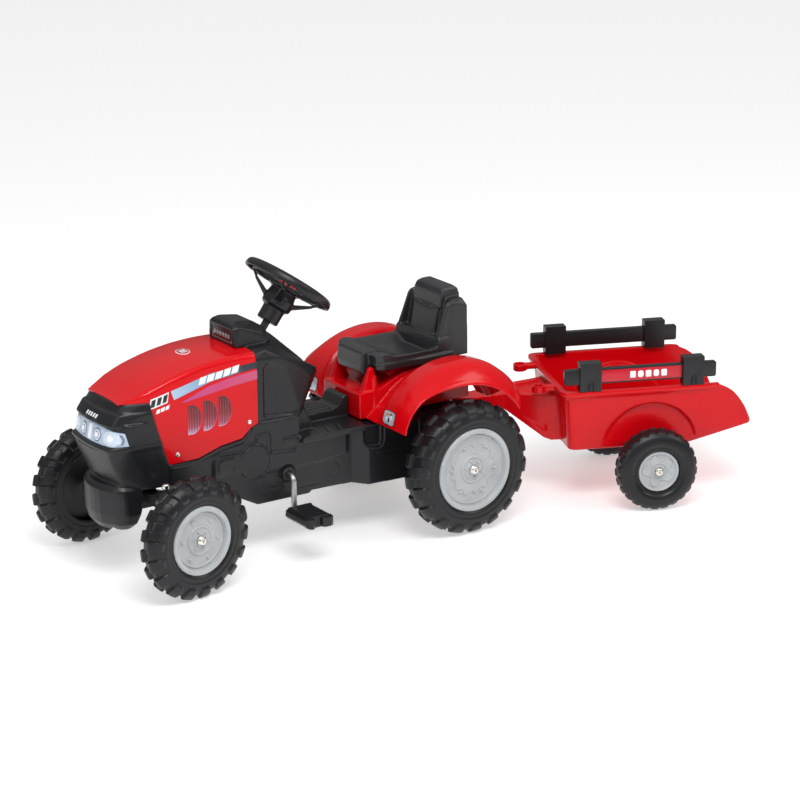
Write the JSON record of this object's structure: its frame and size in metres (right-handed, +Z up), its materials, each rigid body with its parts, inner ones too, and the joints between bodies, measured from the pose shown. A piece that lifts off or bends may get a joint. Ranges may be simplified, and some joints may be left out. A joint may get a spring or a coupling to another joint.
{
  "type": "pedal tractor with trailer",
  "caption": "Child's ride-on pedal tractor with a steered front axle, chain-driven rear axle, adjustable seat and a tipping-bed trailer on a hitch pin.",
  "frame": {"origin": "middle of the footprint on the ground, bottom centre of the bounding box", "axes": "+X towards the tractor's nose, +Y to the rider's left, +Z up"},
  "size_m": [1.3678, 0.542, 0.5311],
  "materials": {
    "red_plastic": "glossy moulded red plastic",
    "black_plastic": "satin black moulded plastic",
    "tyre": "satin black hard plastic wheel moulding",
    "grey_plastic": "light grey moulded plastic",
    "bright_steel": "bright nickel-plated steel",
    "dark_steel": "black-coated steel",
    "lamp_lens": "glossy printed lamp face"
  },
  "bodies": {
    "chassis": {"chassis_body": "black_plastic", "bonnet": "red_plastic", "bonnet_screw_front_left": "bright_steel", "bonnet_screw_front_right": "bright_steel", "bonnet_screw_rear_left": "bright_steel", "bonnet_screw_rear_right": "bright_steel", "seat_base_mudguards": "red_plastic", "headlight_panel": "lamp_lens", "mudguard_lamp_left": "lamp_lens", "mudguard_lamp_right": "lamp_lens", "crank_bush_left": "grey_plastic", "crank_bush_right": "grey_plastic", "drive_chain": "dark_steel", "front_axle_beam": "dark_steel"},
    "seat": {"seat": "black_plastic"},
    "rear_axle": {"rear_axle": "bright_steel", "driven_sprocket": "dark_steel", "rear_left_tyre": "tyre", "rear_left_rim": "grey_plastic", "rear_left_cap": "bright_steel", "rear_right_cap": "bright_steel"},
    "rear_wheel_right": {"rear_right_tyre": "tyre", "rear_right_rim": "grey_plastic"},
    "crank": {"crank_axle": "bright_steel", "drive_sprocket": "dark_steel"},
    "pedal_left": {"pedal_left": "black_plastic"},
    "pedal_right": {"pedal_right": "black_plastic"},
    "steering": {"steering_wheel": "black_plastic", "steering_column": "dark_steel"},
    "horn": {"horn_button": "red_plastic"},
    "knuckle_left": {"knuckle_left": "dark_steel", "kingpin_cap_left": "bright_steel", "front_left_cap": "bright_steel"},
    "knuckle_right": {"knuckle_right": "dark_steel", "kingpin_cap_right": "bright_steel", "front_right_cap": "bright_steel"},
    "track": {"track_plate": "dark_steel"},
    "front_wheel_left": {"front_left_tyre": "tyre", "front_left_rim": "grey_plastic"},
    "front_wheel_right": {"front_right_tyre": "tyre", "front_right_rim": "grey_plastic"},
    "hitch_pin": {"hitch_pin": "bright_steel"},
    "trailer": {"trailer_bed": "red_plastic", "trailer_axle": "bright_steel", "rack_rail_left": "black_plastic", "rack_post_front_left": "black_plastic", "rack_post_rear_left": "black_plastic", "rack_rail_right": "black_plastic", "rack_post_front_right": "black_plastic", "rack_post_rear_right": "black_plastic", "trailer_left_cap": "bright_steel", "trailer_right_cap": "bright_steel"},
    "trailer_wheel_left": {"trailer_left_tyre": "tyre", "trailer_left_rim": "grey_plastic"},
    "trailer_wheel_right": {"trailer_right_tyre": "tyre", "trailer_right_rim": "grey_plastic"}
  },
  "joints": [
    {"name": "seat_slide", "type": "slide", "parent": "chassis", "child": "seat", "axis": [1, 0, 0], "range_m": [-0.03, 0.02]},
    {"name": "rear_axle_spin", "type": "hinge", "parent": "chassis", "child": "rear_axle", "pos_m": [-0.02738, -0.0536, 0.1255], "axis": [0, 1, 0], "continuous": true},
    {"name": "rear_right_spin", "type": "hinge", "parent": "rear_axle", "child": "rear_wheel_right", "pos_m": [-0.02738, -0.2316, 0.1255], "axis": [0, 1, 0], "continuous": true},
    {"name": "crank_spin", "type": "hinge", "parent": "chassis", "child": "crank", "pos_m": [0.30062, -0.0536, 0.149], "axis": [0, 1, 0], "continuous": true},
    {"name": "pedal_left_spin", "type": "hinge", "parent": "crank", "child": "pedal_left", "pos_m": [0.30062, 0.1004, 0.086], "axis": [0, 1, 0], "continuous": true},
    {"name": "pedal_right_spin", "type": "hinge", "parent": "crank", "child": "pedal_right", "pos_m": [0.30062, -0.2076, 0.212], "axis": [0, 1, 0], "continuous": true},
    {"name": "steering_turn", "type": "hinge", "parent": "chassis", "child": "steering", "pos_m": [0.24162, -0.0536, 0.4755], "axis": [-0.6018, 0, 0.7986], "range_deg": [-38, 22]},
    {"name": "horn_press", "type": "slide", "parent": "steering", "child": "horn", "axis": [0.6018, 0, -0.7986], "range_m": [0, 0.003], "stiffness_N_per_m": 400, "springref_m": -0.001},
    {"name": "knuckle_left_turn", "type": "hinge", "parent": "chassis", "child": "knuckle_left", "pos_m": [0.56262, 0.0494, 0.109], "axis": [0, 0, 1], "range_deg": [-38, 22]},
    {"name": "knuckle_right_turn", "type": "hinge", "parent": "chassis", "child": "knuckle_right", "pos_m": [0.56262, -0.1566, 0.109], "axis": [0, 0, 1], "range_deg": [-38, 22]},
    {"name": "track_plate_pivot", "type": "hinge", "parent": "knuckle_left", "child": "track", "pos_m": [0.51806, 0.04314, 0.1076], "axis": [0, 0, 1], "range_deg": [-22, 38]},
    {"name": "front_left_spin", "type": "hinge", "parent": "knuckle_left", "child": "front_wheel_left", "pos_m": [0.55149, 0.12862, 0.109], "axis": [-0.1392, 0.9903, 0], "continuous": true},
    {"name": "front_right_spin", "type": "hinge", "parent": "knuckle_right", "child": "front_wheel_right", "pos_m": [0.57375, -0.23582, 0.109], "axis": [-0.1392, 0.9903, 0], "continuous": true},
    {"name": "hitch_pin_lift", "type": "slide", "parent": "chassis", "child": "hitch_pin", "axis": [0, 0, 1], "range_m": [0, 0.06]},
    {"name": "trailer_swing", "type": "hinge", "parent": "chassis", "child": "trailer", "pos_m": [-0.13438, -0.0536, 0.18], "axis": [0, 0, 1], "range_deg": [-23, 67]},
    {"name": "trailer_left_spin", "type": "hinge", "parent": "trailer", "child": "trailer_wheel_left", "pos_m": [-0.39245, 0.22862, 0.0785], "axis": [0.3746, 0.9272, 0], "continuous": true},
    {"name": "trailer_right_spin", "type": "hinge", "parent": "trailer", "child": "trailer_wheel_right", "pos_m": [-0.51607, -0.07735, 0.0785], "axis": [0.3746, 0.9272, 0], "continuous": true}
  ],
  "couplings": [
    {"joint": "crank_spin", "follows": "rear_axle_spin", "ratio": 0.57895},
    {"joint": "knuckle_left_turn", "follows": "steering_turn", "ratio": 1},
    {"joint": "knuckle_right_turn", "follows": "steering_turn", "ratio": 1},
    {"joint": "track_plate_pivot", "follows": "steering_turn", "ratio": -1}
  ]
}
